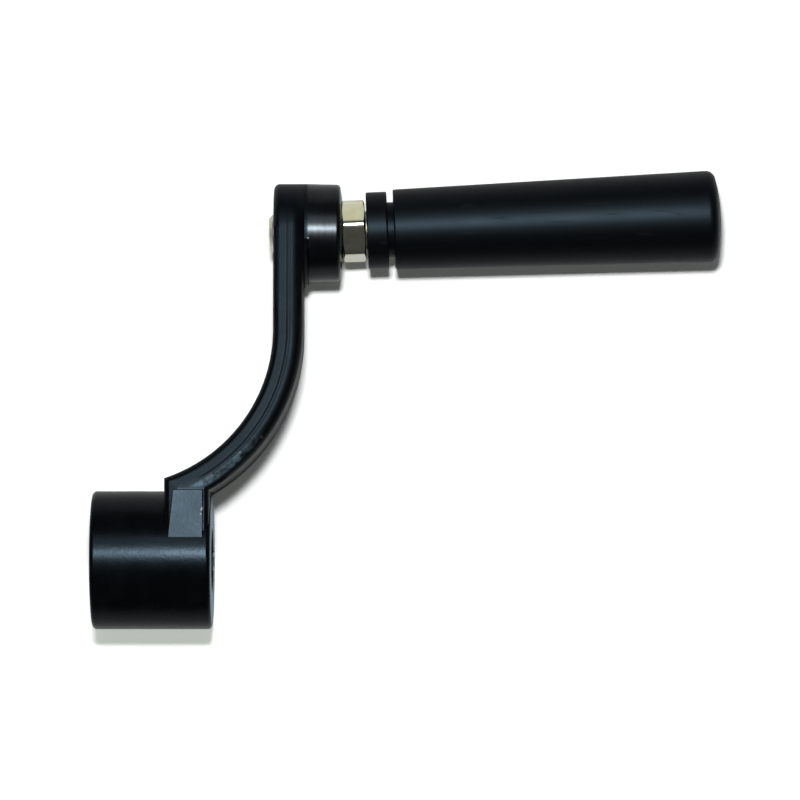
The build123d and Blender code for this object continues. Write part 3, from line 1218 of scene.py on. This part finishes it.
@dataclass
class Washer:
    """The washer between the screw's head and the grip's shoulder.

    Attributes:
        axle: The handle's axis.
        hole: Radius of its hole.
        edge: Rounding that punching left on its edges.
        columns: Points round the washer.
        steps: Points on each rounded edge.
    """

    axle: Axle
    hole: float = 6.5 * MM
    edge: float = 0.25 * MM
    columns: int = 96
    steps: int = 5

    def rings(self) -> Array:
        """Carries the washer's section, with quarter circles for corners, round the axis.

        Returns:
            Points, as rings by points round a ring by three coordinates.
        """
        low, high = self.axle.reach("washer")
        outside, _ = self.axle.farthest("washer")
        turn = np.linspace(0.0, pi / 2, self.steps)
        quarter = [turn + k * pi / 2 for k in range(4)]
        outer, inner = outside - self.edge, self.hole + self.edge
        top, bottom = high - self.edge, low + self.edge
        radii, places = (outer, inner, inner, outer), (top, top, bottom, bottom)
        radius = np.concatenate([r + self.edge * np.cos(q) for r, q in zip(radii, quarter)])
        station = np.concatenate([s + self.edge * np.sin(q) for s, q in zip(places, quarter)])
        radius = radius[:, None].repeat(self.columns, 1)
        station = station[:, None].repeat(self.columns, 1)
        angles = np.arange(self.columns) * (tau / self.columns)
        return self.axle.place(station, radius, np.broadcast_to(angles, radius.shape))

    def build(self, finish: Any) -> None:
        """Makes the washer and fits it in place of the plain one."""
        piece = solid_of_rings("washer_punched", self.rings(), Ends.JOINED)
        fit(piece, "washer", "crank", finish)


@dataclass
class Grip:
    """The turning grip and the cap in its end.

    Attributes:
        cap_roughness: Roughness of the cap where it is rubbed and where it is fresh.
    """

    cap_roughness: Pair = (0.38, 0.46)

    def build(self) -> None:
        """Dresses the moulding and its cap."""
        repaint("grip", MouldedPlastic("grip_plastic").material())
        cap = MouldedPlastic("cap_plastic_skin", roughness=self.cap_roughness)
        repaint("end_cap", cap.material())


# ---- studio


@dataclass
class Lamp:
    """A soft square lamp.

    Attributes:
        name: Its name.
        offset: Its place from the middle of the object, in metres.
        size: Its width and depth.
        power: Its power in watts.
        colour: Its light.
    """

    name: str
    offset: Triple
    size: Pair
    power: float
    colour: Colour

    def build(self, middle: Vector) -> None:
        """Hangs the lamp and aims it at the middle of the object."""
        light = bpy.data.lights.new(self.name, "AREA")
        light.shape = "RECTANGLE"
        light.size, light.size_y = self.size
        light.energy = self.power
        light.color = self.colour
        lamp = put(self.name, light)
        lamp.location = middle + Vector(self.offset)
        lamp.rotation_euler = (-Vector(self.offset)).to_track_quat("-Z", "Y").to_euler()


@dataclass
class Studio:
    """Pale floor, soft lamps and the camera above.

    The floor shows the camera a little more light than falls on it, which lightens shadows, and a
    painted light under the hub that thins the hub's shadow there.

    Attributes:
        floor_half: Half the floor's width.
        floor_colour: The floor as the camera sees it.
        floor_bounce: The floor as the object sees it.
        floor_lift: Light that the floor shows to the camera beyond what falls on it.
        painted_light_under_hub: Painted light on the floor under the hub's near side, more of the
            same, which thins the hub's cast shadow.
        glow_start: Where that begins, along -Y, and how softly.
        glow_colour: Colour of the light that the floor shows.
        room_colour: The room's light.
        room_level: Strength of the room's light.
        camera_height: Height of the camera above the crank's flat plane.
        view_width: Width that the camera sees at that plane.
        view_shift: The camera's place from the middle of the object's box.
        lamps: The lamps.
    """

    floor_half: float = 3.0
    floor_colour: float = 0.94
    floor_bounce: float = 0.50
    floor_lift: float = 0.07
    # Painted light: the floor past the hub's near side shows the camera this much extra, thinning
    # the hub's shadow.
    painted_light_under_hub: float = 0.42
    glow_start: Pair = (3 * MM, 16 * MM)
    glow_colour: Colour = (0.94, 1.0, 0.93)
    room_colour: Colour = (0.92, 0.96, 1.0)
    room_level: float = 0.04
    camera_height: float = 1.5
    view_width: float = 0.2437
    view_shift: Pair = (-0.0023, -0.00015)
    lamps: list[Lamp] = field(
        default_factory=lambda: [
            Lamp("lamp_overhead", (-0.03, 0.25, 1.2), (0.12, 0.10), 16.0, (0.99, 1.0, 0.995)),
            Lamp("lamp_card", (-0.016, 0.35, 0.027), (0.12, 0.09), 0.019, (1.0, 0.99, 0.80)),
            Lamp("lamp_window", (-0.05, 0.72, 1.1), (0.55, 0.30), 1.7, (0.90, 0.97, 1.0)),
        ]
    )

    def floor(self, level: float) -> None:
        """Lays the floor, which keeps the object's shadow, thinned under the hub by painted light,
        and shows white elsewhere.

        Args:
            level: Its height.
        """
        half = self.floor_half
        signs = ((-1, -1), (1, -1), (1, 1), (-1, 1))
        points = [(half * x, half * y, level) for x, y in signs]
        mesh = bpy.data.meshes.new("floor")
        mesh.from_pydata(points, [], [(0, 1, 2, 3)])
        sheet = Sheet("floor_paper")
        seen = sheet.add("ShaderNodeLightPath", output="Is Camera Ray")
        white, bounce = (self.floor_colour,) * 3, (self.floor_bounce,) * 3
        # Painted light past the hub's near side, on top of the floor's even lift, seen by the
        # camera alone.
        near = sheet.height(DATUM, (0.0, -1.0, 0.0)).above(*self.glow_start)
        glow = (near * self.painted_light_under_hub + self.floor_lift) * seen
        sheet.dress(
            Base_Color=sheet.blend(seen, bounce, white),
            Roughness=0.9,
            Specular_IOR_Level=0.0,
            Emission_Color=sheet.blend(glow, (0.0, 0.0, 0.0), self.glow_colour),
            Emission_Strength=1.0,
        )
        mesh.materials.append(sheet.material)
        put("floor", mesh)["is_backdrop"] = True

    def room(self) -> None:
        """Fills the room with soft light; its walls show white to the camera alone."""
        world = bpy.data.worlds.new("room")
        world.use_nodes = True
        nodes, links = world.node_tree.nodes, world.node_tree.links
        paths = nodes.new("ShaderNodeLightPath")
        white = nodes.new("ShaderNodeBackground")
        backdrop = nodes["Background"]
        backdrop.inputs["Color"].default_value = (*self.room_colour, 1.0)
        backdrop.inputs["Strength"].default_value = self.room_level
        white.inputs["Color"].default_value = (1.0, 1.0, 1.0, 1.0)
        white.inputs["Strength"].default_value = 1.0
        mix = nodes.new("ShaderNodeMixShader")
        links.new(paths.outputs["Is Camera Ray"], mix.inputs[0])
        links.new(backdrop.outputs[0], mix.inputs[1])
        links.new(white.outputs[0], mix.inputs[2])
        links.new(mix.outputs[0], nodes["World Output"].inputs["Surface"])
        bpy.context.scene.world = world

    def camera(self, middle: Vector) -> None:
        """Hangs the camera straight above the crank.

        Args:
            middle: Middle of the object's box.
        """
        lens = bpy.data.cameras.new("camera_above")
        lens.sensor_width = 36.0
        lens.lens = lens.sensor_width * self.camera_height / self.view_width
        lens.clip_end = 20.0
        camera = put("camera_above", lens)
        x, y = self.view_shift
        camera.location = (middle.x + x, middle.y + y, self.camera_height)
        bpy.context.scene.camera = camera

    def build(self, low: Vector, high: Vector) -> None:
        """Sets the whole studio up round the object's box."""
        middle = (Vector(low) + Vector(high)) / 2
        self.floor(low[2])
        self.room()
        self.camera(middle)
        for lamp in self.lamps:
            lamp.build(middle)
        bpy.context.scene.view_settings.view_transform = "Standard"
        log.info("studio: %d lamps", len(self.lamps))


# ---- the whole object


def down_axle(handle: Axle) -> Axle:
    """The set screw's axis: through its middle, and down out of the hub's underside."""
    low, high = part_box("set_screw")
    return Axle(np.array((low + high) / 2, float), -handle.up, np.array([1.0, 0.0, 0.0]))


def main() -> None:
    """Builds the crank handle and its studio."""
    logging.basicConfig(level=logging.INFO, format="%(name)s: %(message)s")
    low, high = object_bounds()
    handle = handle_axle()
    Casting(handle).build()
    cap_screw = SocketScrew(
        name="cap_screw_threaded",
        node="cap_screw",
        axle=handle,
        head=Head.CAP,
        radius=6.0 * MM,
        pitch=1.75 * MM,
        threaded=30.0 * MM,
        head_radius=9.0 * MM,
        head_height=12.0 * MM,
        socket_flats=10.0 * MM,
        socket_depth=6.0 * MM,
    )
    cap_screw.build(PlatedSteel("zinc_on_screw"))
    set_screw = SocketScrew(
        name="set_screw_threaded",
        node="set_screw",
        axle=down_axle(handle),
        head=Head.GRUB,
        radius=3.0 * MM,
        pitch=1.0 * MM,
        threaded=8.0 * MM,
        head_radius=3.0 * MM,
        head_height=0.0,
        socket_flats=3.0 * MM,
        socket_depth=3.5 * MM,
        columns=72,
        slot="black_steel",
    )
    set_screw.build(BlackenedSteel("blackened_set_screw"))
    nut_zinc = PlatedSteel("zinc_on_nut", (0.92, 0.92, 0.80), (0.88, 0.86, 0.66), (0.15, 0.24))
    LockNut(handle).build(nut_zinc)
    Washer(handle).build(PlatedSteel("zinc_on_washer"))
    Grip().build()
    Studio().build(low, high)


if __name__ == "__main__":
    main()
